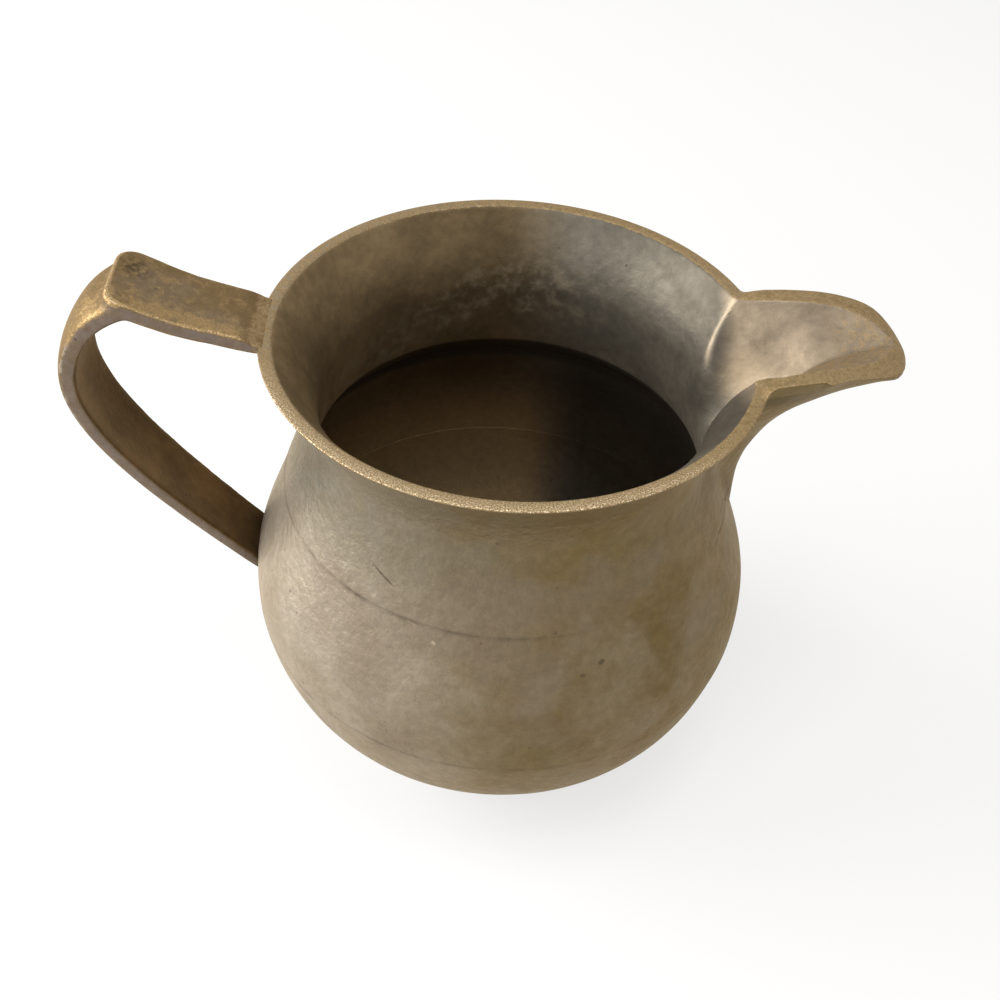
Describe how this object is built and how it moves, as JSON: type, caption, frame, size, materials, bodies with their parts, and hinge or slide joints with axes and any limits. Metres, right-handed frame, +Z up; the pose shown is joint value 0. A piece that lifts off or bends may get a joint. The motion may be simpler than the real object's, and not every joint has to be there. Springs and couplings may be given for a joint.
{
  "type": "pitcher",
  "caption": "Round-bellied metal pitcher with a flared neck, a broad beak spout and a flat strap handle with a thumb rest, for pouring drinks.",
  "frame": {"origin": "centre of the flat underside, on the surface that the pitcher stands on", "axes": "+Z up along the body's axis, +X towards the spout, -X towards the handle"},
  "size_m": [0.1853, 0.1216, 0.1318],
  "materials": {
    "neck_pewter": "aged pewter, dull, brassy where the rim is worn",
    "shoulder_pewter": "aged pewter, dull, with a grey-brown patina",
    "bowl_pewter": "aged pewter, dull, with a grey-brown patina",
    "handle_pewter": "aged pewter, polished by use on its edges",
    "spout_pewter": "aged pewter, polished by use on its lips",
    "solder": "dull tin solder"
  },
  "bodies": {
    "root": {"neck": "neck_pewter", "shoulder": "shoulder_pewter", "bowl": "bowl_pewter", "shoulder_solder": "solder", "girth_solder": "solder", "handle": "handle_pewter", "arm_solder": "solder", "strap_solder": "solder", "spout": "spout_pewter", "spout_solder": "solder"}
  },
  "joints": []
}
